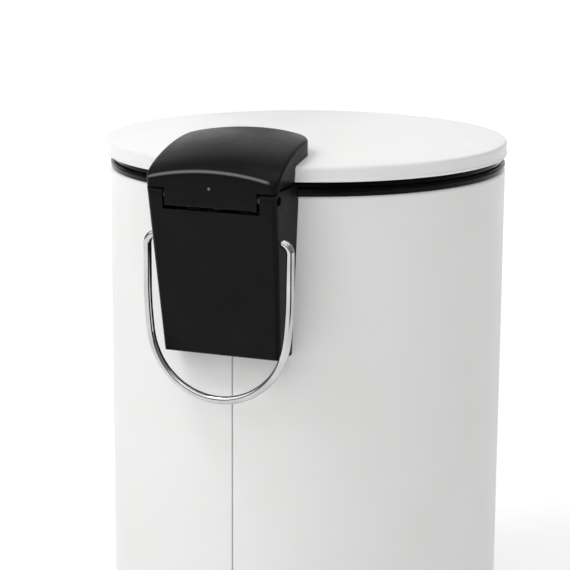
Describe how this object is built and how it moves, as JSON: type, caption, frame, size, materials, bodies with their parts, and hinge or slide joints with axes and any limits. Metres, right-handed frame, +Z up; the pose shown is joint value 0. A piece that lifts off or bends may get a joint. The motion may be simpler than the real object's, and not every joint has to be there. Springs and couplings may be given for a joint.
{
  "type": "pedal trash can",
  "caption": "Round pedal bin with a domed lid, rear hinge housing, wire carrying handle, inner bucket and a foot pedal that lifts the lid through a push rod.",
  "frame": {"origin": "on the bin's axis, in the plane of the grip ring's underside, which is the surface that the bin stands on", "axes": "+Z up along the bin's axis, -Y towards the pedal, +Y towards the hinge housing, +X completes the right-handed frame"},
  "size_m": [0.2084, 0.2693, 0.2902],
  "materials": {
    "white_painted_steel": "smooth satin-gloss white powder coat",
    "black_moulded_plastic": "fine spark-eroded satin texture",
    "gloss_black_plastic": "polished",
    "black_rubber": "matt",
    "chromed_wire": "bright chrome plate",
    "zinc_plated_steel": "dull zinc plate",
    "grey_bucket_plastic": "satin moulded polypropylene"
  },
  "bodies": {
    "bin": {"outer_body": "white_painted_steel", "rim_ring": "gloss_black_plastic", "lid_buffers": "black_rubber", "base_ring": "black_moulded_plastic", "grip_ring": "black_rubber", "base_plate": "zinc_plated_steel", "base_screws": "zinc_plated_steel", "pedal_bracket": "zinc_plated_steel", "bracket_rivets": "zinc_plated_steel", "pedal_pivot_pin": "zinc_plated_steel", "rod_guide": "black_moulded_plastic", "backing_plate": "zinc_plated_steel", "housing_screws": "zinc_plated_steel", "hinge_housing": "black_moulded_plastic", "hinge_pin": "zinc_plated_steel", "inner_bucket": "grey_bucket_plastic", "bucket_handle": "chromed_wire"},
    "lid_assembly": {"lid": "white_painted_steel", "lid_hinge_cap": "black_moulded_plastic", "crank_pin": "zinc_plated_steel", "lid_clamp_plate": "zinc_plated_steel", "lid_screws": "zinc_plated_steel"},
    "pedal": {"pedal_lever": "zinc_plated_steel", "pedal_tread": "black_moulded_plastic", "tread_rivets": "zinc_plated_steel"},
    "rod": {"push_rod": "zinc_plated_steel", "rod_clip": "zinc_plated_steel"},
    "carrying_handle": {"bail_handle": "chromed_wire"}
  },
  "joints": [
    {"name": "lid_hinge", "type": "hinge", "parent": "bin", "child": "lid_assembly", "pos_m": [0, 0.1219, 0.2635], "axis": [-1, 0, 0], "range_deg": [0, 75]},
    {"name": "rod_lift", "type": "slide", "parent": "bin", "child": "rod", "axis": [0, 0, 1], "range_m": [0, 0.0134]},
    {"name": "pedal_press", "type": "hinge", "parent": "bin", "child": "pedal", "pos_m": [0, 0.015, 0.02], "axis": [1, 0, 0], "range_deg": [0, 9.61]},
    {"name": "handle_swing", "type": "hinge", "parent": "bin", "child": "carrying_handle", "pos_m": [0, 0.117, 0.243], "axis": [1, 0, 0], "range_deg": [0, 150]}
  ],
  "couplings": [
    {"joint": "rod_lift", "follows": "lid_hinge", "m_per_rad": 0.010231},
    {"joint": "pedal_press", "follows": "lid_hinge", "ratio": 0.12804}
  ]
}
